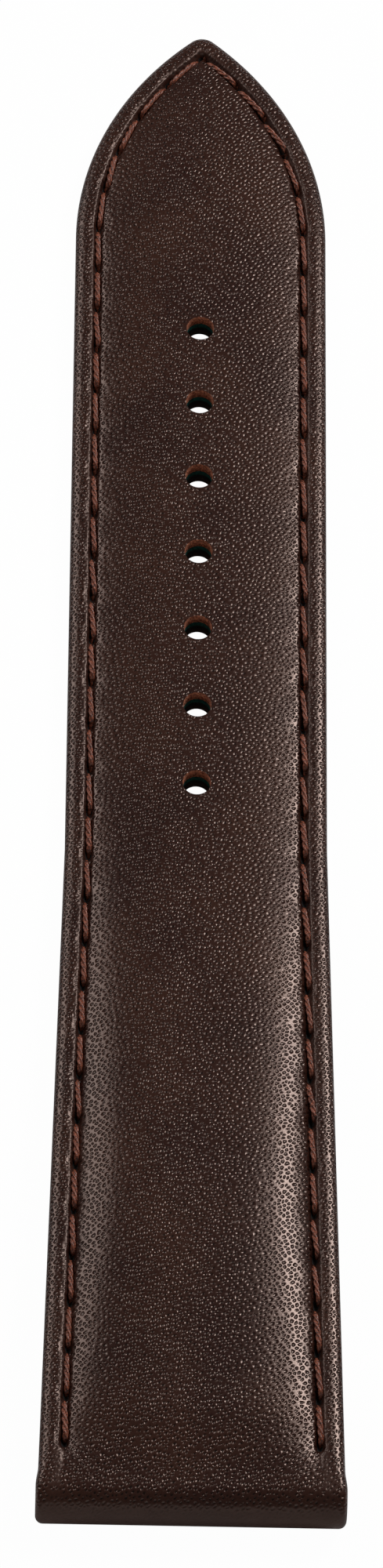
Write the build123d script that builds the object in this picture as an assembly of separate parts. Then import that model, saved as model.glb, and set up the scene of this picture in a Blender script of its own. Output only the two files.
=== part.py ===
from build123d import *
import os
from math import atan2, degrees, sqrt

os.makedirs("parts", exist_ok=True)

# The hole-side half of a padded leather watch strap. Stations run along the strap from the lug end,
# heights run up from the underside, and the origin is the centre of the spring bar channel.
# +X lies along the spring bar, +Y runs to the tip and +Z is the grain side.

# Outline seen from above
strap_length = 120.0
nose_width = 20.3
lug_width = 20.0
turned_edge_start = 3.3
tail_width = 18.0
taper_end = 51.0
tip_arc_radius = 23.0
tip_round_radius = 1.2
inner_tip_round = 0.4

# Spring bar channel and the fold of leather round it
channel_radius = 1.0
sleeve_wall = 0.3
fold_leather = 0.6
sleeve_recess = 0.2
nose_corner_round = 0.5
nose_crown = 0.02
fold_back_end = 8.75

# Layers from the underside up
lining_thickness = 0.5
lining_margin = 0.8
turn_in_thickness = 0.4
turn_in_width = 3.6
stiffener_at_lug = 1.8
stiffener_at_tail = 0.35
upper_thickness = 0.6

# Padded profile of the grain side
crown_at_lug = 4.3
crown_at_tail = 2.15
crown_full_start = 8.0
crown_full_end = 22.0
crown_thin_start = 54.0
bead_at_lug = 3.5
bead_at_tail = 1.95
bead_inset = 0.8
bead_full_start = 8.0
edge_roll = 0.9
edge_tuck = 0.35
padding_start = 3.6
padding_inset = 0.3
padding_side = 0.1

# Seam
stitch_start = 5.0
stitch_pitch = 3.5
stitch_inset = 1.6
stitch_gap = 0.45
thread_width = 0.5
thread_height = 0.4
channel_clearance = 0.03
thread_sink = 0.12
bobbin_height = 0.25
bobbin_recess = 0.05
channel_depth = 1.0
tip_stitches_per_side = 6
tip_channel_ease = 0.1

# Buckle holes
hole_radius = 0.95
hole_pitch = 6.3
hole_count = 7
hole_from_tip = 26.2

# Flex lines, counted in stitches from the lug end
stitches_to_first_flex = 3
stitches_per_flex = 4

# Dome contours of the tip
dome_steps = 5
edge_steps = 3

# Sizes that follow
sleeve_radius = channel_radius + sleeve_wall
nose_radius = sleeve_radius + fold_leather
underside = -nose_radius
turn_in_top = lining_thickness + turn_in_thickness
stiffener_top = turn_in_top + stiffener_at_tail
seam_at_lug = turn_in_top + stiffener_at_lug + upper_thickness
seam_at_tail = stiffener_top + upper_thickness
tail_half = tail_width / 2
centre_offset = tip_arc_radius - tail_half
cutter_height = 4 * nose_radius
cutter_width = 2 * nose_width
row_tolerance = 1e-6
tip_arc_start = (
    strap_length
    - tip_round_radius
    - sqrt((tip_arc_radius - tip_round_radius) ** 2 - centre_offset**2)
)
straight_stitches = int((tip_arc_start - stitch_start) / stitch_pitch)
hole_stations = [strap_length - hole_from_tip - i * hole_pitch for i in range(hole_count)]


def along(station):
    return station - nose_radius


def height(level):
    return underside + level


def between(station, points):
    if station <= points[0][0]:
        return points[0][1]
    for (s0, v0), (s1, v1) in zip(points, points[1:]):
        if station <= s1:
            return v0 + (v1 - v0) * (station - s0) / (s1 - s0)
    return points[-1][1]


WIDTHS = [
    (nose_radius, nose_width / 2),
    (turned_edge_start, lug_width / 2),
    (taper_end, tail_half),
]
CROWNS = [
    (nose_radius, 2 * nose_radius + nose_crown),
    (crown_full_start, crown_at_lug),
    (crown_full_end, crown_at_lug),
    (crown_thin_start, crown_at_tail),
]
BEADS = [
    (nose_radius, 2 * nose_radius),
    (bead_full_start, bead_at_lug),
    (crown_thin_start, bead_at_tail),
]
SEAMS = [
    (nose_radius, 2 * nose_radius),
    (stitch_start, seam_at_lug),
    (crown_thin_start, seam_at_tail),
]


def half_width(station):
    return between(station, WIDTHS)


def seam_x(station):
    return half_width(station) - stitch_inset


def board_top(station):
    return between(station, SEAMS) - upper_thickness


def stations(first, last, points):
    low, high = first + row_tolerance, last - row_tolerance
    inner = {s for s, _ in points if low < s < high}
    return [first, *sorted(inner), last]


def lofted(section, first, last):
    breaks = WIDTHS + CROWNS + BEADS + SEAMS
    return Solid.make_loft([section(s) for s in stations(first, last, breaks)], ruled=True)


# One section across the strap, from a list of its right half's points, mirrored about the middle
def closed_wire(right_edges, dome, base):
    left_edges = [edge.mirror(Plane.YZ) for edge in right_edges]
    return Wire([base, *right_edges, dome, *left_edges])


# The rolled edge: inset and level of its start, middle and end, a quarter of an ellipse
def roll_points(crest):
    turned = 1 - sqrt(0.5)
    return [
        (0.0, crest - edge_roll),
        (bead_inset * turned, crest - edge_roll * turned),
        (bead_inset, crest),
    ]


def outer_section(station):
    y = along(station)
    half = half_width(station)
    crest = between(station, BEADS)
    foot = Vector(half - edge_tuck, y, height(lining_thickness))
    roll = [Vector(half - inset, y, height(level)) for inset, level in roll_points(crest)]
    seam = Vector(half - stitch_inset, y, height(between(station, SEAMS)))
    crown = Vector(0, y, height(between(station, CROWNS)))
    seam_left = Vector(-seam.X, y, seam.Z)
    foot_left = Vector(-foot.X, y, foot.Z)
    side = Edge.make_line(foot, roll[0])
    edge = Edge.make_three_point_arc(*roll)
    slope = Edge.make_line(roll[2], seam)
    dome = Edge.make_three_point_arc(seam, crown, seam_left)
    return closed_wire([side, edge, slope], dome, Edge.make_line(foot_left, foot))


def padding_section(station):
    y = along(station)
    half = half_width(station) - stitch_inset - padding_inset
    shoulder = board_top(station) + padding_side
    foot = Vector(half, y, height(board_top(station)))
    side = Vector(half, y, height(shoulder))
    crown = Vector(0, y, height(between(station, CROWNS) - upper_thickness))
    side_left = Vector(-half, y, side.Z)
    foot_left = Vector(-half, y, foot.Z)
    dome = Edge.make_three_point_arc(side, crown, side_left)
    return closed_wire([Edge.make_line(foot, side)], dome, Edge.make_line(foot_left, foot))


# A flat-topped slab between two lines that follow the taper, given as x at a station
def slab(first, last, left, right, low, high):
    rows = stations(first, last, WIDTHS)
    corners = [(right(s), along(s)) for s in rows] + [(left(s), along(s)) for s in reversed(rows)]
    plan = make_face(Polyline(*corners, close=True))
    return Pos(0, 0, height(low)) * extrude(plan, high - low, dir=(0, 0, 1))


# A flat layer: its side edges stand a fixed distance inside the outline
def layer(first, last, inset, low, high):
    def right(station):
        return half_width(station) - inset

    def left(station):
        return -right(station)

    return slab(first, last, left, right, low, high)


# The filler board is skived with the strap: its top follows the seams
def board_section(station):
    return box_section(station, half_width(station) - upper_thickness, turn_in_top, board_top(station))


def box_section(station, half, low, high, middle=0):
    y = along(station)
    sides = [(middle - half, low), (middle + half, low), (middle + half, high), (middle - half, high)]
    return Wire.make_polygon([Vector(x, y, height(level)) for x, level in sides], close=True)


def needle_channels(first, last):
    half = thread_width / 2 + channel_clearance

    def channel(side):
        def section(station):
            low = between(station, SEAMS) - thread_sink
            return box_section(station, half, low, crown_at_lug, side * seam_x(station))

        return lofted(section, first, last)

    return [channel(-1), channel(1)]


def bobbin_channels(first, last):
    half = thread_width / 2 + channel_clearance

    def channel(side):
        def left(station):
            return side * seam_x(station) - half

        def right(station):
            return side * seam_x(station) + half

        return slab(first, last, left, right, -channel_depth, bobbin_recess + bobbin_height)

    return [channel(-1), channel(1)]


# One stitch: a round-ended bar that lies in its channel from one needle hole to the next
def stitch_bar(start, end, tall):
    run = end - start
    along_run = run.normalized()
    up = Vector(0, 0, 1) - along_run * along_run.Z
    bar = extrude(SlotOverall(run.length - stitch_gap, thread_width), tall)
    return Plane(origin=(start + end) / 2, x_dir=along_run, z_dir=up) * bar


def straight_ends(side, first, last):
    return [
        (
            Vector(side * seam_x(gap_station(i)), along(gap_station(i))),
            Vector(side * seam_x(gap_station(i + 1)), along(gap_station(i + 1))),
        )
        for i in range(first, last)
    ]


def gap_station(index):
    return stitch_start + index * stitch_pitch


def on_seam(point):
    level = between(point.Y + nose_radius, SEAMS) - thread_sink
    return Vector(point.X, point.Y, height(level))


def under_lining(point):
    return Vector(point.X, point.Y, height(bobbin_recess))


def needle_bars(ends):
    return [stitch_bar(on_seam(a), on_seam(b), thread_height) for a, b in ends]


def bobbin_bars(ends):
    return [stitch_bar(under_lining(a), under_lining(b), bobbin_height) for a, b in ends]


def buckle_holes(first, last):
    return [
        Pos(0, along(s), 0) * Cylinder(hole_radius, cutter_height)
        for s in hole_stations
        if first - hole_radius < s < last + hole_radius
    ]


def cut(body, tools):
    for tool in tools:
        body = body - tool
    return body


def straight_layers(first, last):
    holes = buckle_holes(first, last)
    padding = lofted(padding_section, max(first, padding_start), last)
    stiffener = lofted(board_section, max(first, padding_start), last)
    tape = layer(max(first, padding_start), last, turn_in_width, lining_thickness, turn_in_top)
    upper = lofted(outer_section, first, last)
    top_channels = needle_channels(max(first, stitch_start), last)
    upper = cut(upper, [padding, stiffener, tape, *top_channels, *holes])
    lining_first = max(first, fold_back_end)
    lining = layer(lining_first, last, lining_margin, 0, lining_thickness)
    low_channels = bobbin_channels(max(first, stitch_start), last)
    return {
        "upper_leather": upper,
        "padding": cut(padding, holes),
        "stiffener": cut(stiffener, holes),
        "reinforcing_tape": cut(tape, holes),
        "lining_leather": cut(lining, [*low_channels, *holes]),
    }


def save(name, shape):
    solids = shape if isinstance(shape, list) else shape.solids()
    compound = Compound(label=name, children=[Solid(s.solid().wrapped) for s in solids])
    export_step(compound if len(solids) > 1 else solids[0], f"parts/{name}.step")


def save_segment(suffix, layers, ends):
    for name, shape in layers.items():
        save(f"{name}_{suffix}", shape)
    save(f"needle_thread_{suffix}", needle_bars(ends))
    save(f"bobbin_thread_{suffix}", bobbin_bars(ends))


# Lug end: the upper leather folds round the sleeve and comes back under the strap
def lug_fold():
    nose = Rot(0, 90, 0) * Cylinder(nose_radius, nose_width)
    ends = nose.edges().filter_by(GeomType.CIRCLE)
    nose = fillet(ends, nose_corner_round)
    back = Pos(0, cutter_height / 2, 0) * Box(cutter_width, cutter_height, cutter_height)
    tab = layer(nose_radius, fold_back_end, edge_tuck, 0, lining_thickness)
    low_channels = bobbin_channels(stitch_start, fold_back_end)
    return nose - back, cut(tab, low_channels)


def make_lug(last_gap):
    last = gap_station(last_gap)
    layers = straight_layers(nose_radius, last)
    nose, tab = lug_fold()
    sleeve_space = Rot(0, 90, 0) * Cylinder(sleeve_radius, cutter_width)
    layers["upper_leather"] = layers["upper_leather"] + nose + tab - sleeve_space
    sleeve_length = nose_width - 2 * sleeve_recess
    sleeve = Cylinder(sleeve_radius, sleeve_length) - Cylinder(channel_radius, cutter_width)
    save("bar_sleeve", Rot(0, 90, 0) * sleeve)
    ends = [pair for side in (-1, 1) for pair in straight_ends(side, 0, last_gap)]
    save_segment("lug", layers, ends)


def make_middle(number, first_gap, last_gap):
    layers = straight_layers(gap_station(first_gap), gap_station(last_gap))
    ends = [pair for side in (-1, 1) for pair in straight_ends(side, first_gap, last_gap)]
    save_segment(str(number), layers, ends)


# Tip: the outline moved inwards by an inset, as a closed wire that starts at the last flex line
def tip_edges(first, inset):
    radius = tip_arc_radius - inset
    blunt = max(tip_round_radius - inset, inner_tip_round)
    shoulder_y = along(tip_arc_start)
    side_x = tail_half - inset
    rise = sqrt((radius - blunt) ** 2 - centre_offset**2)
    touch = Vector(
        -centre_offset + radius * centre_offset / (radius - blunt),
        shoulder_y + radius * rise / (radius - blunt),
    )
    apex = Vector(0, shoulder_y + rise + blunt)
    shoulder = Vector(side_x, shoulder_y)
    half_turn = atan2(touch.Y - shoulder_y, touch.X + centre_offset) / 2
    middle = Vector(-centre_offset, shoulder_y) + Vector(radius, 0).rotate(Axis.Z, degrees(half_turn))
    root = Vector(side_x, along(first))
    side = Edge.make_line(root, shoulder)
    arc = Edge.make_three_point_arc(shoulder, middle, touch)
    nib = Edge.make_three_point_arc(touch, apex, Vector(-touch.X, touch.Y))
    return side, arc, nib


def tip_wire(first, inset, level):
    side, arc, nib = tip_edges(first, inset)
    root = side @ 0
    base = Edge.make_line(Vector(-root.X, root.Y), root)
    wire = Wire([base, side, arc, nib, arc.mirror(Plane.YZ), side.mirror(Plane.YZ)])
    return wire.moved(Pos(0, 0, height(level)))


def tip_stack(first, contours):
    slabs = [
        Solid.make_loft([tip_wire(first, *low), tip_wire(first, *high)], ruled=True)
        for low, high in zip(contours, contours[1:])
    ]
    stack = slabs[0]
    for slab in slabs[1:]:
        stack = stack + slab
    return stack


def tip_plate(first, inset, low, high):
    plan = make_face(tip_wire(first, inset, low))
    return extrude(plan, high - low, dir=(0, 0, 1))


def dome_contours(base_inset, base_level, crown_level):
    half = tail_half - base_inset
    rise = crown_level - base_level
    shares = [i / dome_steps for i in range(dome_steps)]
    return [(base_inset + half * t, base_level + rise * (1 - (1 - t) ** 2)) for t in shares]


def tip_ring(first, inset, half, low, high):
    return tip_plate(first, inset - half, low, high) - tip_plate(first, inset + half, low, high)


def tip_layers(first):
    holes = buckle_holes(first, strap_length)
    roll = Edge.make_three_point_arc(*roll_points(bead_at_tail))
    rim = [roll @ (i / edge_steps) for i in range(edge_steps + 1)]
    upper = tip_stack(first, [(edge_tuck, lining_thickness), *((p.X, p.Y) for p in rim)])
    pan = tip_stack(first, [(stitch_inset, seam_at_tail), (bead_inset, bead_at_tail)])
    dome = tip_stack(first, dome_contours(stitch_inset, seam_at_tail, crown_at_tail))
    padding_foot = tip_plate(
        first, stitch_inset + padding_inset, stiffener_top, stiffener_top + padding_side
    )
    padding = padding_foot + tip_stack(
        first,
        dome_contours(
            stitch_inset + padding_inset,
            stiffener_top + padding_side,
            crown_at_tail - upper_thickness,
        ),
    )
    stiffener = tip_plate(first, upper_thickness, turn_in_top, stiffener_top)
    tape = tip_plate(first, turn_in_width, lining_thickness, turn_in_top)
    half = thread_width / 2 + channel_clearance + tip_channel_ease
    top_channel = tip_ring(first, stitch_inset, half, seam_at_tail - thread_sink, crown_at_lug)
    low_channel = tip_ring(
        first, stitch_inset, half, -channel_depth, bobbin_recess + bobbin_height
    )
    upper = cut(upper - pan + dome, [padding, stiffener, tape, top_channel, *holes])
    lining = tip_plate(first, lining_margin, 0, lining_thickness)
    return {
        "upper_leather": upper,
        "padding": cut(padding, holes),
        "stiffener": cut(stiffener, holes),
        "reinforcing_tape": cut(tape, holes),
        "lining_leather": cut(lining, [low_channel, *holes]),
    }


def tip_stitch_ends(first):
    side, arc, nib = tip_edges(first, stitch_inset)
    half_nib = nib.trim(0, 0.5)
    route = Wire([side, arc, half_nib])
    gaps = [route @ (i / tip_stitches_per_side) for i in range(tip_stitches_per_side + 1)]
    right = list(zip(gaps, gaps[1:]))
    left = [(Vector(-a.X, a.Y), Vector(-b.X, b.Y)) for a, b in right]
    return right + left


def make_tip(first_gap):
    first = gap_station(first_gap)
    save_segment("tip", tip_layers(first), tip_stitch_ends(first))


flex_gaps = list(range(stitches_to_first_flex, straight_stitches, stitches_per_flex))
flex_gaps.append(straight_stitches)
make_lug(flex_gaps[0])
for number, (first_gap, last_gap) in enumerate(zip(flex_gaps, flex_gaps[1:]), start=2):
    make_middle(number, first_gap, last_gap)
make_tip(flex_gaps[-1])
print("flex lines at y", [round(along(gap_station(k)), 3) for k in flex_gaps])
print("holes at y", [round(along(s), 3) for s in hole_stations])
print("tip at y", round(along(strap_length), 3), "underside z", underside)
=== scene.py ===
import math
import random

import bpy
from mathutils import Matrix, Vector


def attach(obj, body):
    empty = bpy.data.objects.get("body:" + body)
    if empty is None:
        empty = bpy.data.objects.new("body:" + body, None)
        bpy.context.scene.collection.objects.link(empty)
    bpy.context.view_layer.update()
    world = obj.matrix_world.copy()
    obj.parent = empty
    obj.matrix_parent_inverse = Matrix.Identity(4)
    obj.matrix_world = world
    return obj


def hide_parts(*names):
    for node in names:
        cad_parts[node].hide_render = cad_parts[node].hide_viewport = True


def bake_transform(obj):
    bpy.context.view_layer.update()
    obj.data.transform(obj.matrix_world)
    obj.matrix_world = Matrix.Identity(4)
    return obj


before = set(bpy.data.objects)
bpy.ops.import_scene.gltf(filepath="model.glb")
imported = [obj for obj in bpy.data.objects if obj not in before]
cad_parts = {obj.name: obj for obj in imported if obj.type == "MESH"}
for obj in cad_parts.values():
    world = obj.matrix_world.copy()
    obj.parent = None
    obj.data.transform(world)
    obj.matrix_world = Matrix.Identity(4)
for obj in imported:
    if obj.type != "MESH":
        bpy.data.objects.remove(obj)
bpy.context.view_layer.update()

bpy.ops.object.select_all(action="DESELECT")
random.seed(11)


# Upper leather
# Skived calfskin, 0.6 mm, dyed dark chocolate and finished with a thin gloss. It is drawn over
# the padding, turned under along both sides and the tip, and folded round the bar at the lug.
# It is laid in seven lengths that meet halfway between the flex lines, so each bends on one.
MM = 0.001

# Sizes in millimetres: x across the strap, y along it and levels above its underside
UNDERSIDE = -1.9
FLARED_HALF, FLARE, FLARE_END = 10.15, 0.15, 1.4
LUG_HALF, TAIL_HALF, SIDE_TAPER = 10.0, 9.0, 47.7
TIP_ARC_Y, TIP_Y, TIP_RADIUS, TIP_BLUNT, INNER_BLUNT = 100.19, 118.1, 23.0, 1.2, 0.4
ARC_OFFSET = TIP_RADIUS - TAIL_HALF
SEAM_INSET, SEAM_START, SEAM_END, STITCH = 1.6, 3.1, 97.6, 3.5
NOSE, LEATHER = 3.8, 0.6
CROWN_LUG, CROWN_TAIL, CROWN_FULL, CROWN_TAPER = 4.3, 2.15, 6.1, 20.1
SEAM_LUG, SEAM_TAIL, SEAM_FULL = 3.5, 1.48, 4.5
BEAD_LUG, BEAD_TAIL, BEAD_FULL = 3.68, 1.68, 6.1
BOARD_LUG, BOARD_TAIL = 2.7, 1.3
TAIL_START = 52.1
FOOT_INSET, FOOT = 0.35, 0.5
SHELL_START = 1.7
SPLITS = [SHELL_START, 20.6, 34.6, 48.6, 62.6, 76.6, 90.6, TIP_Y]
FLEX_Y = [13.6, 27.6, 41.6, 55.6, 69.6, 83.6, 97.6]
LENGTHS = range(len(FLEX_Y))
SUFFIXES = ["lug", "2", "3", "4", "5", "6", "7", "tip"]
HOLE_Y = [91.9, 85.6, 79.3, 73.0, 66.7, 60.4, 54.1]
ROW_STEP, ARC_ROWS, NIB_ROWS = STITCH / 20, 84, 6


def eased(share):
    share = min(max(share, 0.0), 1.0)
    return share * share * (3 - 2 * share)


def half_width(y):
    if y < FLARE_END:
        return FLARED_HALF - FLARE * eased(y / FLARE_END)
    return LUG_HALF - (LUG_HALF - TAIL_HALF) * min((y - FLARE_END) / SIDE_TAPER, 1.0)


# The strap is skived from the lug to the tail: 0 before a taper and 1 on the tail. The share is
# averaged over 8 mm, so the taper starts and ends softly.
def skived(y, start):
    length = TAIL_START - start
    shares = [min(max((y + near - start) / length, 0), 1) for near in (-4, -2, 0, 2, 4)]
    return sum(shares) / len(shares)


def level_along(y, lug, tail, full, taper):
    return NOSE + (lug - NOSE) * eased(y / full) + (tail - lug) * skived(y, taper)


def crown(y):
    return level_along(y, CROWN_LUG, CROWN_TAIL, CROWN_FULL, CROWN_TAPER)


def seam_level(y):
    return level_along(y, SEAM_LUG, SEAM_TAIL, SEAM_FULL, SEAM_FULL)


def bead(y):
    return level_along(y, BEAD_LUG, BEAD_TAIL, BEAD_FULL, BEAD_FULL)


# The stiffener is thinner along its margins, under the seams, than in the middle
def board_margin(y):
    return seam_level(y) - LEATHER


def board_middle(y):
    return max(board_margin(y), BOARD_LUG + (BOARD_TAIL - BOARD_LUG) * skived(y, SEAM_FULL))


# A row is where a cross-section meets the outline: along the sides, on the tip arc or on the nib
def rows_between(first, last):
    count = max(1, round((last - first) / ROW_STEP))
    return [("side", first + (last - first) * i / count) for i in range(count + 1)]


def tip_rows(first):
    rows = rows_between(first, TIP_ARC_Y)
    rows += [("arc", i / ARC_ROWS) for i in range(1, ARC_ROWS + 1)]
    return rows + [("nib", i / NIB_ROWS) for i in range(1, NIB_ROWS + 1)]


def tip_form(inset):
    radius, blunt = TIP_RADIUS - inset, max(TIP_BLUNT - inset, INNER_BLUNT)
    rise = math.sqrt((radius - blunt) ** 2 - ARC_OFFSET**2)
    return radius, blunt, rise, math.atan2(rise, ARC_OFFSET)


def at_inset(row, inset):
    kind, value = row
    if kind == "side":
        return half_width(value) - inset, value
    radius, blunt, rise, end = tip_form(inset)
    if kind == "arc":
        turn = value * end
        return radius * math.cos(turn) - ARC_OFFSET, TIP_ARC_Y + radius * math.sin(turn)
    turn = end + value * (math.pi / 2 - end)
    return blunt * math.cos(turn), TIP_ARC_Y + rise + blunt * math.sin(turn)


def inset_of(x, y):
    if y <= TIP_ARC_Y:
        return half_width(y) - abs(x)
    return TIP_RADIUS - math.hypot(abs(x) + ARC_OFFSET, y - TIP_ARC_Y)


# How far a point lies from the seam towards the middle: 0 on the seam, 1 on the middle line
def seam_share(x, y, inset):
    if y <= TIP_ARC_Y:
        half = half_width(y) - inset
        return max(0.0, 1 - (x / half) ** 2)
    radius, half = TIP_RADIUS - inset, TAIL_HALF - inset
    right = radius - math.hypot(x + ARC_OFFSET, y - TIP_ARC_Y)
    left = radius - math.hypot(x - ARC_OFFSET, y - TIP_ARC_Y)
    if right <= 0 or left <= 0:
        return 0.0
    return 2 * right * left / (right + left) / half


# The felt rises from the seams in one arc, flatter on top than a circle. Where it is thick, at
# the lug end, its shoulders are fuller than in the tail.
FULL_LUG, FULL_TAIL = 1.95, 1.3


def domed(x, y, inset, shoulder, top):
    fullness = FULL_LUG + (FULL_TAIL - FULL_LUG) * skived(y, CROWN_TAPER)
    return shoulder + (top - shoulder) * (1 - (1 - seam_share(x, y, inset)) ** fullness)


def seam_length(row):
    kind, value = row
    if kind == "side":
        return value - SEAM_START
    radius, blunt, rise, end = tip_form(SEAM_INSET)
    arc = radius * end
    if kind == "arc":
        return TIP_ARC_Y - SEAM_START + value * arc
    return TIP_ARC_Y - SEAM_START + arc + value * blunt * (math.pi / 2 - end)


SEAM_STRAIGHT = SEAM_END - SEAM_START
STRAIGHT_STITCHES, TIP_STITCHES = 27, 6
SEAM_TIP_STITCH = (seam_length(("nib", 1.0)) - SEAM_STRAIGHT) / TIP_STITCHES
NEEDLE_HOLES = [i * STITCH for i in range(STRAIGHT_STITCHES + 1)]
NEEDLE_HOLES += [SEAM_STRAIGHT + i * SEAM_TIP_STITCH for i in range(1, TIP_STITCHES + 1)]


# The thread presses a narrow channel into the skin, the needle pulls a pit down at each hole,
# and the skin round the holes is drawn into a slight pucker
SEAM_LEAD = 1.5
PIT_DEPTH, PIT_ALONG, PIT_ACROSS = 0.32, 0.38, 0.24
PUCKER_DEPTH, PUCKER_ALONG, PUCKER_ACROSS = 0.08, 0.9, 0.7
CHANNEL_DEPTH, CHANNEL_ACROSS, CHANNEL_LEAD, CHANNEL_EASE = 0.17, 0.29, 0.6, 0.5


def seam_pull(row, inset):
    run = seam_length(row)
    if run < -SEAM_LEAD:
        return 0.0
    away = min(abs(run - hole) for hole in NEEDLE_HOLES)
    across = inset - SEAM_INSET
    pit = PIT_DEPTH * math.exp(-((away / PIT_ALONG) ** 4) - (across / PIT_ACROSS) ** 4)
    pucker = PUCKER_DEPTH * math.exp(-((away / PUCKER_ALONG) ** 2) - (across / PUCKER_ACROSS) ** 2)
    channel = CHANNEL_DEPTH * math.exp(-((across / CHANNEL_ACROSS) ** 4))
    return pit + pucker + channel * eased((run + CHANNEL_LEAD) / CHANNEL_EASE)


# The dome's columns stand close together beside the seam: these are their steps inwards from it
DOME_STEPS = [0.0, 0.10, 0.20, 0.27, 0.34, 0.45, 0.65, 0.95,
              1.35, 1.85, 2.45, 3.15, 3.95, 4.85, 5.8, 6.8]
DOME_HALF = LUG_HALF - SEAM_INSET
DOME_COLUMNS = [0.0] + [1 - step / DOME_HALF for step in reversed(DOME_STEPS)]
BEAD_INSETS = [1.5, 1.43, 1.36, 1.3, 1.24, 1.16, 1.08]
BEAD_RISE, BEAD_STEEPNESS = 0.35, 2.2
EDGE_CREST, ROLL_DROP, UNDER_RISE, FOLD_CORNER, UPRIGHT_REACH = 1.0, 0.5, 0.5, 0.5, 3.6
EDGE_STEPS, UNDER_SHARE, SIDE_SHARE = 16, 0.25, 0.38


# The bead beside the seam is creased flat: it rises steeply from the channel, then stays level
def bead_top(y, inset):
    share = min((SEAM_INSET - inset) / BEAD_RISE, 1.0)
    return seam_level(y) + (bead(y) - seam_level(y)) * (1 - (1 - share) ** BEAD_STEEPNESS)


# The turned edge: a round turn under the lining, an upright side and a low roll on top. Where
# it runs into the fold it is upright all the way, with a small corner.
def edge_point(y, share):
    high = bead(y)
    if share < UNDER_SHARE:
        bend = share / UNDER_SHARE * math.pi / 2
        rolled = (FOOT_INSET * (1 - math.sin(bend)), FOOT + UNDER_RISE * (1 - math.cos(bend)))
    elif share < SIDE_SHARE:
        up = (share - UNDER_SHARE) / (SIDE_SHARE - UNDER_SHARE)
        rolled = (0.0, FOOT + UNDER_RISE + (high - ROLL_DROP - FOOT - UNDER_RISE) * up)
    else:
        bend = (share - SIDE_SHARE) / (1 - SIDE_SHARE) * math.pi / 2
        rolled = (EDGE_CREST * (1 - math.cos(bend)), high - ROLL_DROP * (1 - math.sin(bend)))
    if share < SIDE_SHARE:
        upright = (0.0, FOOT + (high - FOLD_CORNER - FOOT) * share / SIDE_SHARE)
    else:
        upright = (FOLD_CORNER * (1 - math.cos(bend)), high - FOLD_CORNER * (1 - math.sin(bend)))
    mix = eased(y / UPRIGHT_REACH)
    return tuple(u + (r - u) * mix for u, r in zip(upright, rolled))


def outer_half(row):
    seam_x, seam_y = at_inset(row, SEAM_INSET)
    points = []
    for column in DOME_COLUMNS:
        x = seam_x * column
        level = domed(x, seam_y, SEAM_INSET, seam_level(seam_y), crown(seam_y))
        level -= seam_pull(row, SEAM_INSET + seam_x - x)
        points.append((x, seam_y, level))
    for inset in BEAD_INSETS:
        x, y = at_inset(row, inset)
        points.append((x, y, bead_top(y, inset) - seam_pull(row, inset)))
    for step in range(EDGE_STEPS, -1, -1):
        _, y = at_inset(row, 0)
        inset, level = edge_point(y, step / EDGE_STEPS)
        points.append((*at_inset(row, inset), level))
    return points


TURN_IN = [(0.9, 0.5), (1.8, 0.5), (2.7, 0.5), (3.52, 0.5), (3.6, 0.56), (3.6, 0.78), (3.52, 0.84),
           (2.4, 0.84), (1.2, 0.84), (0.6, 0.84)]
UNDER_BEAD = [(0.6, 0.02), (1.2, 0.02), (1.75, 0.02)]
PAD_INSET, PAD_SHOULDER = SEAM_INSET + 0.3, 0.1


def shell_half(row):
    points = outer_half(row)
    for inset, level in TURN_IN:
        points.append((*at_inset(row, inset), level))
    for inset, above in UNDER_BEAD:
        x, y = at_inset(row, inset)
        points.append((x, y, board_margin(y) + above))
    pad_x, pad_y = at_inset(row, PAD_INSET)
    for column in reversed(DOME_COLUMNS):
        x = pad_x * column
        shoulder = board_margin(pad_y) + PAD_SHOULDER
        points.append((x, pad_y, domed(x, pad_y, PAD_INSET, shoulder, crown(pad_y) - LEATHER)))
    return points


def mirrored_loop(right):
    left = [(-x, y, z) for x, y, z in reversed(right)]
    return right + left


def choose(piece, test):
    bpy.ops.mesh.select_all(action="DESELECT")
    bpy.ops.object.mode_set(mode="OBJECT")
    for vertex in piece.data.vertices:
        vertex.select = test(vertex.co / MM)
    bpy.ops.object.mode_set(mode="EDIT")


# A sheet of quads is laid over the cross-sections, its edges are joined and its ends closed
MERGE, END_REACH = 1e-7, 1e-3


def lay_over(name, sections, ends):
    columns, rows = len(sections[0]), len(sections)
    bpy.ops.mesh.primitive_grid_add(x_subdivisions=columns - 1, y_subdivisions=rows - 1)
    piece = bpy.context.object
    piece.name = piece.data.name = name
    points = [point for section in sections for point in section]
    for vertex, (x, y, level) in zip(piece.data.vertices, points):
        vertex.co = Vector((x, y, UNDERSIDE + level)) * MM
    bpy.ops.object.mode_set(mode="EDIT")
    bpy.ops.mesh.select_mode(type="VERT")
    bpy.ops.mesh.select_all(action="SELECT")
    bpy.ops.mesh.remove_doubles(threshold=MERGE)
    for end in ends:
        choose(piece, lambda place: abs(place.y - end) < END_REACH)
        bpy.ops.mesh.edge_face_add()
    bpy.ops.mesh.select_all(action="SELECT")
    bpy.ops.mesh.normals_make_consistent(inside=False)
    bpy.ops.object.mode_set(mode="OBJECT")
    return piece


# One of the seven lengths of a layer, from the half section that the layer has at each row
def lay_length(kind, number, half, start=SHELL_START):
    first, last = SPLITS[number] if number else start, SPLITS[number + 1]
    rows = tip_rows(first) if last == TIP_Y else rows_between(first, last)
    ends = [first] if last == TIP_Y else [first, last]
    return lay_over(f"{kind}_length_{number + 1}", [mirrored_loop(half(row)) for row in rows], ends)


def join(pieces):
    bpy.ops.object.select_all(action="DESELECT")
    for piece in pieces:
        piece.select_set(True)
    bpy.context.view_layer.objects.active = pieces[0]
    bpy.ops.object.join()
    return pieces[0]


def place_in_mesh(piece):
    piece.data.transform(piece.matrix_world)
    piece.matrix_world = Matrix.Identity(4)


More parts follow.
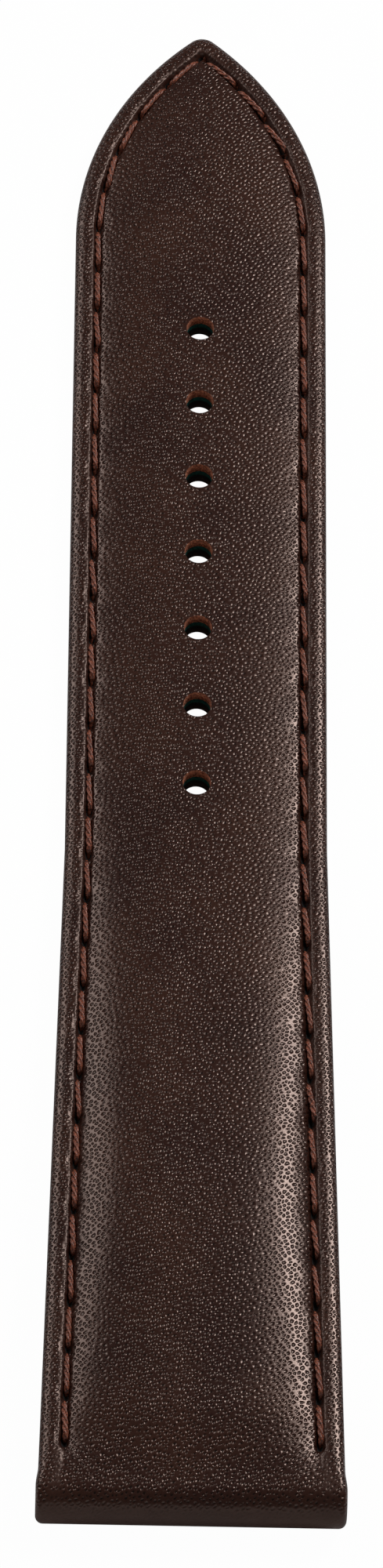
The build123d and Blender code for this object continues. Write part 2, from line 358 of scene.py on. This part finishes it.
def cut_with(piece, cutter):
    bpy.ops.object.select_all(action="DESELECT")
    bpy.context.view_layer.objects.active = piece
    piece.select_set(True)
    cutting = piece.modifiers.new("cut", "BOOLEAN")
    cutting.object, cutting.operation, cutting.solver = cutter, "DIFFERENCE", "EXACT"
    bpy.ops.object.modifier_apply(modifier=cutting.name)
    bpy.data.objects.remove(cutter)


# Punches the buckle holes of one length. The punch draws the skin in a little at the top.
HOLE_RADIUS, HOLE_SIDES, PUNCH_LENGTH = 0.95, 48, 8
MOUTH_DEPTH, MOUTH_FLARE, FLARE_EASE = 0.15, 0.04, 0.2
PUNCH_RINGS = (-0.18, -0.1, -0.03, 0.1)


def punch(piece, number, top=None):
    for hole_y in HOLE_Y:
        if not SPLITS[number] - HOLE_RADIUS < hole_y < SPLITS[number + 1] + HOLE_RADIUS:
            continue
        bpy.ops.mesh.primitive_cylinder_add(
            vertices=HOLE_SIDES, radius=HOLE_RADIUS * MM, depth=PUNCH_LENGTH * MM,
            location=(0, hole_y * MM, 0))
        cutter = bpy.context.object
        place_in_mesh(cutter)
        if top:
            level = UNDERSIDE + top(hole_y)
            bpy.ops.object.mode_set(mode="EDIT")
            for above in PUNCH_RINGS:
                bpy.ops.mesh.select_all(action="SELECT")
                bpy.ops.mesh.bisect(plane_co=(0, 0, (level + above) * MM), plane_no=(0, 0, 1))
            bpy.ops.object.mode_set(mode="OBJECT")
            for vertex in cutter.data.vertices:
                above = vertex.co.z / MM - level + MOUTH_DEPTH
                flare = 1 + MOUTH_FLARE * eased(above / FLARE_EASE)
                vertex.co.x *= flare
                vertex.co.y = hole_y * MM + (vertex.co.y - hole_y * MM) * flare
        cut_with(piece, cutter)


def smooth(piece, degrees=40):
    bpy.ops.object.select_all(action="DESELECT")
    bpy.context.view_layer.objects.active = piece
    piece.select_set(True)
    bpy.ops.object.shade_smooth_by_angle(angle=math.radians(degrees))


# Each piece keeps its places at rest, in millimetres, so a pattern stays on it as it bends
def keep_places(piece):
    places = piece.data.attributes.new("rest_mm", "FLOAT_VECTOR", "POINT")
    for vertex, place in zip(piece.data.vertices, places.data):
        place.vector = vertex.co / MM


def bend_with_strap(piece, number, kind):
    keep_places(piece)
    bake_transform(piece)
    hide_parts(f"{kind}_{SUFFIXES[number]}", f"{kind}_{SUFFIXES[number + 1]}")


# The skin's map in millimetres, unrolled down the edges and round the fold
ROLL_WIDTH = 0.45


def unrolled(x, y, z):
    if y < 0:
        return x, -NOSE / 2 * math.atan2(-y, z)
    down = bead(y) - (z - UNDERSIDE)
    if down <= 0 or inset_of(x, y) > EDGE_CREST:
        return x, y
    beyond = ROLL_WIDTH * min(down, ROLL_DROP) + max(down - ROLL_DROP, 0.0)
    side = math.copysign(1.0, x)
    out = Vector((side, 0.0))
    if y > TIP_ARC_Y:
        out = Vector((x + side * ARC_OFFSET, y - TIP_ARC_Y)).normalized()
    return x + out.x * beyond, y + out.y * beyond


# How open the grain is: stretched flat over the fold, creased smooth on the bead by the seam
FOLD_GRAIN, FOLD_TOP, FOLD_EASE = 0.3, 1.88, 0.9
CREASE, CREASE_INSET, CREASE_EASE = 0.3, 0.95, 0.25


def grain_open(x, y):
    inset = inset_of(x, y)
    creased = CREASE * eased((inset - CREASE_INSET) / CREASE_EASE) if inset < SEAM_INSET else 0.0
    return (FOLD_GRAIN + (1 - FOLD_GRAIN) * eased((y + FOLD_TOP) / FOLD_EASE)) * (1 - creased)


# Fine wrinkles fan inwards from the last stitch of each row, over the corner of the fold
FAN_X, FAN_Y = 8.6, 4.0
FAN_NEAR, FAN_GROWTH, FAN_FAR, FAN_FADE = 1.0, 1.2, 2.4, 3.6
FAN_SIDE, FAN_TOP, FAN_TOP_FADE = 1.6, 2.2, 1.4


def fold_fan(x, y):
    reach = math.hypot(abs(x) - FAN_X, y - FAN_Y)
    depth = eased((reach - FAN_NEAR) / FAN_GROWTH) * (1 - eased((reach - FAN_FAR) / FAN_FADE))
    depth *= eased((FAN_X - abs(x)) / FAN_SIDE) * (1 - eased((y - FAN_TOP) / FAN_TOP_FADE))
    return math.atan2(y - FAN_Y, abs(x) - FAN_X), depth


def map_skin(piece):
    skin = piece.data.attributes.new("skin_mm", "FLOAT_VECTOR", "POINT")
    state = piece.data.attributes.new("skin_state", "FLOAT_VECTOR", "POINT")
    for vertex, place, worn in zip(piece.data.vertices, skin.data, state.data):
        x, y, z = vertex.co / MM
        place.vector = (*unrolled(x, y, z), 0.0)
        worn.vector = (*fold_fan(x, y), grain_open(x, y))


def srgb(code):
    channels = [int(code[i:i + 2], 16) / 255 for i in (1, 3, 5)]
    linear = [c / 12.92 if c <= 0.04045 else ((c + 0.055) / 1.055) ** 2.4 for c in channels]
    return (*linear, 1.0)


def add_node(material, kind, **settings):
    tree = material.node_tree
    node = tree.nodes.new("ShaderNode" + kind)
    for name, value in settings.items():
        label = name.replace("_", " ")
        if name.startswith("in") and name[2:].isdigit():
            socket = node.inputs[int(name[2:])]
        elif label in node.inputs and not hasattr(node, name):
            socket = node.inputs[label]
        else:
            setattr(node, name, value)
            continue
        if isinstance(value, bpy.types.NodeSocket):
            tree.links.new(value, socket)
        else:
            socket.default_value = value
    return node


def new_material(name):
    material = bpy.data.materials.new(name)
    material.use_nodes = True
    material.node_tree.nodes.clear()
    return material


def ramp(material, fac, *stops):
    node = add_node(material, "ValToRGB", Fac=fac)
    elements = node.color_ramp.elements
    while len(elements) < len(stops):
        elements.new(0.5)
    for element, (position, color) in zip(elements, stops):
        element.position, element.color = position, color
    return node.outputs["Color"]


# Smooth calf, dyed through and glossed. Its pores are small bowls 0.32 mm apart, packed close,
# and drawn a little longer on one diagonal by the way the hide was stretched. The rounded net of
# skin between them glints. The gloss is faintly warm, from the wax.
PORE_SPACING, FINE_SKIN, ROLLING, DYE_PATCH, DRIFT = 0.32, 0.12, 0.9, 7.0, 0.12
PORE_DRAW = (1.2, 0.86, 1)
FINE_HEIGHT, ROLLING_HEIGHT, WRINKLE_HEIGHT, GRAIN_HEIGHT = 0.1, 0.25, 2.2, 0.000033


def calfskin():
    material = new_material("calfskin_chocolate")
    skin = add_node(material, "Attribute", attribute_name="skin_mm").outputs["Vector"]
    state = add_node(material, "Attribute", attribute_name="skin_state").outputs["Vector"]
    state = add_node(material, "SeparateXYZ", Vector=state)
    rolling = add_node(material, "TexNoise", noise_dimensions="2D", Vector=skin,
                       Scale=1 / ROLLING, Detail=2.0)
    drift = add_node(material, "VectorMath", operation="MULTIPLY_ADD",
                     in0=rolling.outputs["Color"], in1=(DRIFT, DRIFT, 0), in2=skin)
    drawn = add_node(material, "Mapping", vector_type="TEXTURE", Vector=drift.outputs[0],
                     Rotation=(0, 0, math.radians(45)), Scale=PORE_DRAW)
    nearest, second = (
        add_node(material, "TexVoronoi", voronoi_dimensions="2D", feature=feature, Randomness=0.75,
                 Vector=drawn.outputs[0], Scale=1 / PORE_SPACING).outputs["Distance"]
        for feature in ("F1", "F2"))
    across = add_node(material, "Math", operation="DIVIDE", in0=nearest, in1=second)
    net = add_node(material, "MapRange", Value=across.outputs[0], From_Max=0.74,
                   interpolation_type="SMOOTHSTEP").outputs["Result"]
    fine = add_node(material, "TexNoise", noise_dimensions="2D", Vector=skin,
                    Scale=1 / FINE_SKIN, Detail=2.0)
    streaks = add_node(material, "TexNoise", noise_dimensions="1D", W=state.outputs["X"],
                       Scale=9.0, Detail=1.0)
    wrinkles = add_node(material, "Math", operation="MULTIPLY", in0=streaks.outputs["Fac"],
                        in1=state.outputs["Y"])
    pored = add_node(material, "Math", operation="MULTIPLY_ADD", in0=fine.outputs["Fac"],
                     in1=FINE_HEIGHT, in2=net)
    rolled = add_node(material, "Math", operation="MULTIPLY_ADD", in0=rolling.outputs["Fac"],
                      in1=ROLLING_HEIGHT, in2=pored.outputs[0])
    height = add_node(material, "Math", operation="MULTIPLY_ADD", in0=wrinkles.outputs[0],
                      in1=WRINKLE_HEIGHT, in2=rolled.outputs[0])
    bump = add_node(material, "Bump", Height=height.outputs[0], Distance=GRAIN_HEIGHT,
                    Strength=state.outputs["Z"])
    patches = add_node(material, "TexNoise", noise_dimensions="2D", Vector=skin,
                       Scale=1 / DYE_PATCH, Detail=3.0)
    color = ramp(material, patches.outputs["Fac"], (0.3, srgb("#2a1511")), (0.7, srgb("#382018")))
    # Painted shade in the pores: the colour darkens towards each bowl's bottom, less where the grain
    # is stretched or creased
    pore_shade = ramp(material, net, (0.0, srgb("#33261f")), (0.6, srgb("#ffffff")))
    shaded_pores = add_node(material, "Mix", data_type="RGBA", blend_type="MULTIPLY",
                    in0=state.outputs["Z"], in6=color, in7=pore_shade)
    matt_fold = add_node(material, "MapRange", Value=state.outputs["Z"], To_Min=0.65, To_Max=0.235)
    leather = add_node(material, "BsdfPrincipled", Base_Color=shaded_pores.outputs[2], IOR=1.5,
                       Roughness=matt_fold.outputs["Result"], Specular_Tint=srgb("#ffe0d2"),
                       Normal=bump.outputs["Normal"])
    add_node(material, "OutputMaterial", Surface=leather.outputs["BSDF"])
    return material


# A surface of fine fibres in two tones. The pattern keeps to the piece's places at rest.
def fibrous(name, low, high, grain, depth, roughness=0.95, detail=4.0, strength=0.5, spread=0.2):
    material = new_material(name)
    places = add_node(material, "Attribute", attribute_name="rest_mm").outputs["Vector"]
    fibre = add_node(material, "TexNoise", Vector=places, Scale=1 / grain, Detail=detail)
    color = ramp(material, fibre.outputs["Fac"], (0.5 - spread, srgb(low)), (0.5 + spread, srgb(high)))
    bump = add_node(material, "Bump", Height=fibre.outputs["Fac"], Strength=strength, Distance=depth)
    surface = add_node(material, "BsdfPrincipled", Base_Color=color, Roughness=roughness,
                       Normal=bump.outputs["Normal"])
    add_node(material, "OutputMaterial", Surface=surface.outputs["BSDF"])
    return material


# Painted shade for the needle pits: a plain near-black skin laid down in each hole, where shade falls
def needle_hole():
    material = new_material("needle_hole_waxed")
    painted_dark = add_node(material, "BsdfPrincipled", Base_Color=srgb("#0c0705"), Roughness=0.8)
    add_node(material, "OutputMaterial", Surface=painted_dark.outputs["BSDF"])
    return material


# The leather cut by the punch is rust brown inside the holes, open and matt
CALFSKIN = calfskin()
CUT_LEATHER = fibrous("cut_leather_fibre", "#6b311e", "#d88f6c", 0.14, 0.0001,
                      roughness=0.9, strength=0.6, spread=0.15)
NEEDLE_PIT_SHADE = needle_hole()
CUT_SLOT, PIT_SHADE_SLOT = 1, 2
HOLE_WALL, WALL_STEEPNESS = 1.1, 0.7
PIT_START, PIT_LEVEL, PIT_WIDTH, PIT_STEEPNESS = 2.0, 0.3, 0.32, 0.1


def on_hole_wall(face):
    x, y, _ = face.center / MM
    upright = abs(face.normal.z) < WALL_STEEPNESS
    return upright and any(math.hypot(x, y - hole) < HOLE_WALL for hole in HOLE_Y)


def finish_upper(piece):
    for material in (CALFSKIN, CUT_LEATHER, NEEDLE_PIT_SHADE):
        piece.data.materials.append(material)
    for face in piece.data.polygons:
        x, y, z = face.center / MM
        sunk = y > PIT_START and seam_level(y) - PIT_LEVEL > z - UNDERSIDE
        on_seam = abs(inset_of(x, y) - SEAM_INSET) < PIT_WIDTH
        if on_hole_wall(face):
            face.material_index = CUT_SLOT
        # The sunk faces of the needle pits along the seam take the painted shade
        elif sunk and on_seam and face.normal.z > PIT_STEEPNESS:
            face.material_index = PIT_SHADE_SLOT
    map_skin(piece)
    smooth(piece)


# The lug end: a solid core ahead of the padding, with the leather spun round the bar channel and
# a tab of it brought back under the strap
FOLD_RADIUS, CHANNEL_RADIUS = 1.9, 1.3
TAB_END, TAB_CORNER, TAB_BEVEL = 6.85, 0.25, 0.1


def lug_core():
    sections = []
    for row in rows_between(0.0, SHELL_START):
        half = outer_half(row)
        tab_x = at_inset(row, FOOT_INSET)[0]
        half[-1] = (tab_x, row[1], FOOT)
        half += [(tab_x, row[1], TAB_CORNER), (tab_x - TAB_BEVEL, row[1], 0.0), (0.0, row[1], 0.0)]
        sections.append(mirrored_loop(half))
    core = lay_over("lug_core", sections, [0.0, SHELL_START])
    bpy.ops.mesh.primitive_cylinder_add(
        vertices=64, radius=CHANNEL_RADIUS * MM, depth=30 * MM, rotation=(0, math.pi / 2, 0))
    cutter = bpy.context.object
    place_in_mesh(cutter)
    cut_with(core, cutter)
    return core


def lug_fold():
    bpy.ops.mesh.primitive_plane_add(size=2 * MM, rotation=(math.pi / 2, 0, 0))
    fold = bpy.context.object
    fold.name = "lug_fold"
    place_in_mesh(fold)
    for vertex in fold.data.vertices:
        x = math.copysign(FLARED_HALF, vertex.co.x)
        vertex.co = Vector((x, 0, FOLD_RADIUS if vertex.co.z > 0 else CHANNEL_RADIUS)) * MM
    bpy.ops.object.mode_set(mode="EDIT")
    choose(fold, lambda place: place.z > (CHANNEL_RADIUS + FOLD_RADIUS) / 2)
    bpy.ops.mesh.bevel(offset=FOLD_CORNER * MM, segments=6, affect="VERTICES")
    for column in range(-9, 10):
        bpy.ops.mesh.select_all(action="SELECT")
        bpy.ops.mesh.bisect(plane_co=(column * MM, 0, 0), plane_no=(1, 0, 0))
    bpy.ops.mesh.select_all(action="SELECT")
    bpy.ops.mesh.spin(steps=36, angle=math.pi, center=(0, 0, 0), axis=(-1, 0, 0))
    bpy.ops.mesh.select_all(action="SELECT")
    bpy.ops.mesh.normals_make_consistent(inside=False)
    bpy.ops.object.mode_set(mode="OBJECT")
    return fold


def fold_tab():
    bpy.ops.mesh.primitive_cube_add(size=2 * MM)
    tab = bpy.context.object
    tab.name = "fold_tab"
    for vertex in tab.data.vertices:
        y = SHELL_START if vertex.co.y < 0 else TAB_END
        x = math.copysign(half_width(y) - FOOT_INSET, vertex.co.x)
        vertex.co = Vector((x, y, UNDERSIDE + (FOOT if vertex.co.z > 0 else 0))) * MM
    return tab


for number in LENGTHS:
    upper = lay_length("upper_leather", number, shell_half)
    if number == 0:
        upper = join([upper, lug_core(), lug_fold(), fold_tab()])
    punch(upper, number, top=crown)
    finish_upper(upper)
    bend_with_strap(upper, number, "upper_leather")


# Padding
# Soft needled felt under the upper leather, skived to a dome: thick at the lug end and thin in
# the tail. It is glued on the stiffener and held by the two seams. Inside the buckle holes the
# punch has drawn the leather's rust fibres down over it.
FELT = fibrous("needled_felt_dark", "#081a19", "#123533", 0.15, 0.0001)
PAD_GAP, PAD_FOOT_GAP, PAD_EDGE, MARGIN_INSET = 0.02, 0.03, 0.05, 3.6


def pad_half(row):
    inset = PAD_INSET + PAD_GAP
    pad_x, pad_y = at_inset(row, inset)
    foot, top = board_margin(pad_y) + PAD_FOOT_GAP, crown(pad_y) - LEATHER - PAD_GAP
    points = []
    for column in DOME_COLUMNS:
        x = pad_x * column
        points.append((x, pad_y, domed(x, pad_y, inset, foot + PAD_EDGE, top)))
    inner_x, inner_y = at_inset(row, MARGIN_INSET)
    inner_foot = board_middle(inner_y) + PAD_GAP
    return points + [(pad_x, pad_y, foot), (inner_x, inner_y, inner_foot),
                     (inner_x * 0.5, inner_y, inner_foot), (0, inner_y, inner_foot)]


for number in LENGTHS:
    padding = lay_length("padding", number, pad_half)
    punch(padding, number)
    for material in (FELT, CUT_LEATHER):
        padding.data.materials.append(material)
    for face in padding.data.polygons:
        if on_hole_wall(face):
            face.material_index = CUT_SLOT
    smooth(padding)
    bend_with_strap(padding, number, "padding")


# Stiffener and reinforcing tape
# The filler board is bonded leather fibre, skived thin towards the tail. The woven tape lies
# under it between the turned-in edges. Both are cut to the outline and glued flat.
BOARD = fibrous("bonded_leather_board_teal", "#073f3c", "#16766f", 0.2, 0.00005)
TAPE = fibrous("woven_nylon_tape", "#16191a", "#2a2e2f", 0.3, 0.00005)
BOARD_INSET, BOARD_UNDERSIDE = 0.62, 0.86
TAPE_INSET, TAPE_UNDERSIDE, TAPE_TOP = 3.62, 0.52, 0.88


def flat_half(row, inset, low, middle, margin):
    (x, y), (inner_x, inner_y) = at_inset(row, inset), at_inset(row, max(inset, MARGIN_INSET))
    high = middle(inner_y)
    return [(0, inner_y, high), (inner_x * 0.5, inner_y, high), (inner_x, inner_y, high),
            (*at_inset(row, max(inset, PAD_INSET)), margin(y)), (x, y, margin(y)), (x, y, low),
            (inner_x, inner_y, low), (inner_x * 0.5, inner_y, low), (0, inner_y, low)]


def board_half(row):
    return flat_half(row, BOARD_INSET, BOARD_UNDERSIDE, board_middle, board_margin)


def tape_half(row):
    return flat_half(row, TAPE_INSET, TAPE_UNDERSIDE, lambda y: TAPE_TOP, lambda y: TAPE_TOP)


for number in LENGTHS:
    board = lay_length("stiffener", number, board_half)
    punch(board, number)
    board.data.materials.append(BOARD)
    bend_with_strap(board, number, "stiffener")
    tape = lay_length("tape", number, tape_half)
    punch(tape, number)
    tape.data.materials.append(TAPE)
    bend_with_strap(tape, number, "reinforcing_tape")


# Lining
# The wrist side: a flat skin of matt dark brown calf that stands a little inside the outline and
# starts where the folded-back tab ends. The bobbin thread lies in a channel pressed into it.
LINING = fibrous("lining_calf_dark", "#2a1c16", "#3f2b21", 0.35, 0.00004, roughness=0.7)
LINING_INSETS = [0.83, 0.92, 1.1, 1.25, 1.35, 1.45, 1.55, 1.65, 1.75, 1.85, 1.95, 2.1]
LINING_EDGE, LINING_CORNER, CORNER_WIDTH = 0.8, 0.12, 0.15
BOBBIN_CHANNEL, BOBBIN_ACROSS = 0.3, 0.27


def lining_half(row):
    inner_x, inner_y = at_inset(row, LINING_INSETS[-1])
    edge = at_inset(row, LINING_EDGE)
    half = [(0, inner_y, FOOT), (inner_x, inner_y, FOOT), (*edge, FOOT), (*edge, LINING_CORNER)]
    for inset in LINING_INSETS:
        channel = BOBBIN_CHANNEL * math.exp(-(((inset - SEAM_INSET) / BOBBIN_ACROSS) ** 4))
        corner = LINING_CORNER * max(0, 1 - (inset - LINING_EDGE) / CORNER_WIDTH)
        half.append((*at_inset(row, inset), channel + corner))
    return half + [(inner_x * 0.6, inner_y, 0.0), (0, inner_y, 0.0)]


for number in LENGTHS:
    lining = lay_length("lining", number, lining_half, start=TAB_END)
    punch(lining, number)
    lining.data.materials.append(LINING)
    smooth(lining)
    bend_with_strap(lining, number, "lining_leather")


# Needle thread
# Waxed polyester of about 0.4 mm, rust brown, three plies twisted to a lay of 1.9 mm. Each
# stitch rises steeply from the needle hole on its lug side, lies askew in the channel and sinks
# slowly into the next hole.
THREAD = fibrous("waxed_polyester_thread", "#361910", "#a05a42", 0.1, 0.00003,
                 roughness=0.4, detail=2.0, strength=0.4, spread=0.15)
PLY_RADIUS, PLY_OFFSET, PLIES = 0.105, 0.108, 3
THREAD_SIDES, STITCH_STEPS, TWIST = 21, 34, 19.5
FLATTENED, STITCH_RISE = 0.9, 0.07
SLIM_FAR, SLIM_NEAR, SINK_FAR, SINK_NEAR = 0.45, 0.2, 1.05, 0.85


def ply_outline(turn):
    share = 2 * math.pi / PLIES
    turn = (turn + share / 2) % share - share / 2
    bulge = math.sqrt(PLY_RADIUS**2 - (PLY_OFFSET * math.sin(turn)) ** 2)
    return PLY_OFFSET * math.cos(turn) + bulge


def twisted_stitch():
    bpy.ops.mesh.primitive_circle_add(
        vertices=THREAD_SIDES, radius=MM, fill_type="NGON", rotation=(math.pi / 2, 0, 0))
    stitch = bpy.context.object
    place_in_mesh(stitch)
    for vertex in stitch.data.vertices:
        vertex.co *= ply_outline(math.atan2(vertex.co.z, vertex.co.x))
        vertex.co.y = -STITCH / 2 * MM
    bpy.ops.object.mode_set(mode="EDIT")
    bpy.ops.mesh.select_all(action="SELECT")
    for step in range(STITCH_STEPS):
        bpy.ops.mesh.extrude_region_move(
            TRANSFORM_OT_translate={"value": (0, STITCH / STITCH_STEPS * MM, 0)})
        bpy.ops.transform.rotate(value=math.radians(TWIST), orient_axis="Y", center_override=(0, 0, 0))
    bpy.ops.mesh.select_all(action="SELECT")
    bpy.ops.mesh.normals_make_consistent(inside=False)
    bpy.ops.object.mode_set(mode="OBJECT")
    for vertex in stitch.data.vertices:
        share = vertex.co.y / (STITCH / 2 * MM)
        far, near = max(share, 0.0), max(-share, 0.0)
        slim = 1.0 - SLIM_FAR * far**3 - SLIM_NEAR * near**8
        vertex.co.x *= slim
        vertex.co.z *= slim * FLATTENED
        vertex.co.z += (STITCH_RISE - SINK_FAR * far**3.4 - SINK_NEAR * near**9) * MM
    return stitch


def seam_point(run):
    if run <= TIP_ARC_Y - SEAM_START:
        return at_inset(("side", run + SEAM_START), SEAM_INSET)
    radius, blunt, rise, end = tip_form(SEAM_INSET)
    along = (run - (TIP_ARC_Y - SEAM_START)) / (radius * end)
    if along <= 1:
        return at_inset(("arc", along), SEAM_INSET)
    rest = (run - (TIP_ARC_Y - SEAM_START) - radius * end) / (blunt * (math.pi / 2 - end))
    return at_inset(("nib", min(rest, 1.0)), SEAM_INSET)


# Each stitch lies a little differently: turned, thicker or thinner, higher or lower. The needle
# thread is sewn over the strap, with over at 1, and the bobbin thread under it, with over at -1.
SLANT, TURN_SPREAD = {1: math.radians(5.0), -1: math.radians(3.0)}, 0.025
THICKNESS, THICKNESS_SPREAD, LIFT_SPREAD = 0.95, (-0.09, 0.07), (-0.05, 0.01)


def sew(name, number, level, over):
    laid = []
    for side in (1, -1):
        for start, stop in zip(NEEDLE_HOLES, NEEDLE_HOLES[1:]):
            a, b = Vector(seam_point(start)), Vector(seam_point(stop))
            a.x, b.x = a.x * side, b.x * side
            middle = (a + b) / 2
            if not SPLITS[number] < middle.y < SPLITS[number + 1]:
                continue
            run = b - a
            turn = math.atan2(-run.x, run.y) + (SLANT[side] + random.gauss(0, TURN_SPREAD)) * over
            thick = THICKNESS + random.uniform(*THICKNESS_SPREAD)
            lift = random.uniform(*LIFT_SPREAD)
            copy = stitch.copy()
            copy.data = stitch.data.copy()
            bpy.context.collection.objects.link(copy)
            height = UNDERSIDE + level(middle.y) + lift
            place = Matrix.Translation(Vector((middle.x, middle.y, height)) * MM)
            rise = math.atan2(level(b.y) - level(a.y), run.length) if over > 0 else 0.0
            laid_down = Matrix.Rotation(turn, 4, "Z") @ Matrix.Rotation(rise, 4, "X")
            size = Matrix.Diagonal((thick, run.length / STITCH, over * thick, 1))
            copy.data.transform(place @ laid_down @ size)
            if over < 0:
                copy.data.flip_normals()
            laid.append(copy)
    thread = join(laid)
    thread.name = thread.data.name = name
    return thread


def lay_thread(kind, level, over):
    for number in LENGTHS:
        thread = sew(f"{kind}_length_{number + 1}", number, level, over)
        thread.data.materials.append(THREAD)
        smooth(thread, 60)
        bend_with_strap(thread, number, kind)


stitch = twisted_stitch()
lay_thread("needle_thread", seam_level, 1)


# Bobbin thread
# The same thread on the wrist side, laid in the channel pressed into the lining. Its stitches
# are those of the needle thread mirrored, at the same pitch.
BOBBIN_LEVEL = 0.36
lay_thread("bobbin_thread", lambda y: BOBBIN_LEVEL, -1)
bpy.data.objects.remove(stitch)


# Bar sleeve
# A woven textile tube glued into the fold, which the spring bar slides through. It ends a little
# inside the strap's sides.
SLEEVE = fibrous("woven_sleeve", "#1c1a18", "#34302b", 0.2, 0.00005)
SLEEVE_LENGTH, SLEEVE_WALL = 19.9, 0.3
bpy.ops.mesh.primitive_cylinder_add(
    vertices=48, radius=CHANNEL_RADIUS * MM, depth=SLEEVE_LENGTH * MM, end_fill_type="NOTHING",
    rotation=(0, math.pi / 2, 0))
sleeve = bpy.context.object
sleeve.name = "bar_sleeve_tube"
place_in_mesh(sleeve)
wall = sleeve.modifiers.new("wall", "SOLIDIFY")
wall.thickness, wall.offset = SLEEVE_WALL * MM, -1
bpy.ops.object.modifier_apply(modifier=wall.name)
smooth(sleeve)
keep_places(sleeve)
sleeve.data.materials.append(SLEEVE)
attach(sleeve, "lug_end")
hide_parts("bar_sleeve")


# Studio
# The strap lies on a white sheet of paper board between softboxes, seen from the lug side
UNDER_STRAP, GLOW_SHARE = 0.01, 0.98
bpy.ops.mesh.primitive_grid_add(x_subdivisions=4, y_subdivisions=4, size=4.0,
                                location=(0, 0, (UNDERSIDE - UNDER_STRAP) * MM))
floor = bpy.context.object
floor.name = "floor"
paper = new_material("white_paper_board")
light_path = add_node(paper, "LightPath")
board_white = add_node(paper, "BsdfDiffuse", Color=srgb("#f4f4f4"))
glow = add_node(paper, "Emission", Color=srgb("#ffffff"), Strength=1.0)
seen = add_node(paper, "Math", operation="MULTIPLY", in0=light_path.outputs["Is Camera Ray"],
                in1=GLOW_SHARE)
blended = add_node(paper, "MixShader", Fac=seen.outputs[0], in1=board_white.outputs[0],
                   in2=glow.outputs[0])
add_node(paper, "OutputMaterial", Surface=blended.outputs[0])
floor.data.materials.append(paper)

world = bpy.data.worlds.new("studio")
bpy.context.scene.world = world
world.use_nodes = True
background = world.node_tree.nodes["Background"]
background.inputs["Color"].default_value = srgb("#ffffff")
background.inputs["Strength"].default_value = 0.1
STRAP_MIDDLE = Vector((0, 0.058, 0))


def softbox(name, place, size, power):
    lamp = bpy.data.lights.new(name, "AREA")
    lamp.shape, lamp.size, lamp.size_y, lamp.energy = "RECTANGLE", *size, power
    box = bpy.data.objects.new(name, lamp)
    bpy.context.scene.collection.objects.link(box)
    box.location = place
    box.rotation_euler = (STRAP_MIDDLE - box.location).to_track_quat("-Z", "Y").to_euler()


softbox("softbox_right", (0.29, 0.29, 0.34), (0.12, 0.16), 1.15)
softbox("softbox_right_high", (0.22, 0.26, 0.40), (0.16, 0.2), 0.4)
softbox("softbox_left", (-0.39, 0.39, 0.39), (0.26, 0.28), 1.1)
softbox("softbox_front", (0.0, -0.75, 0.20), (0.8, 0.25), 0.6)

# The camera of the photo: a long lens, from the lug side and well above
FOCAL_PIXELS, PHOTO_HEIGHT, SENSOR = 9612, 2000, 36.0
CAMERA_PLACE, CAMERA_TURNS = (-10.6, -212.5, 444.4), ((-2.2, "Z"), (30.98, "X"), (3.04, "Z"))
camera_data = bpy.data.cameras.new("camera")
camera_data.sensor_fit, camera_data.sensor_width = "AUTO", SENSOR
camera_data.lens = FOCAL_PIXELS * SENSOR / PHOTO_HEIGHT
camera = bpy.data.objects.new("camera", camera_data)
bpy.context.scene.collection.objects.link(camera)
camera_place = Matrix.Translation(Vector(CAMERA_PLACE) * MM)
for degrees, axis in CAMERA_TURNS:
    camera_place = camera_place @ Matrix.Rotation(math.radians(degrees), 4, axis)
camera.matrix_world = camera_place
bpy.context.scene.camera = camera
bpy.context.scene.view_settings.view_transform = "Standard"
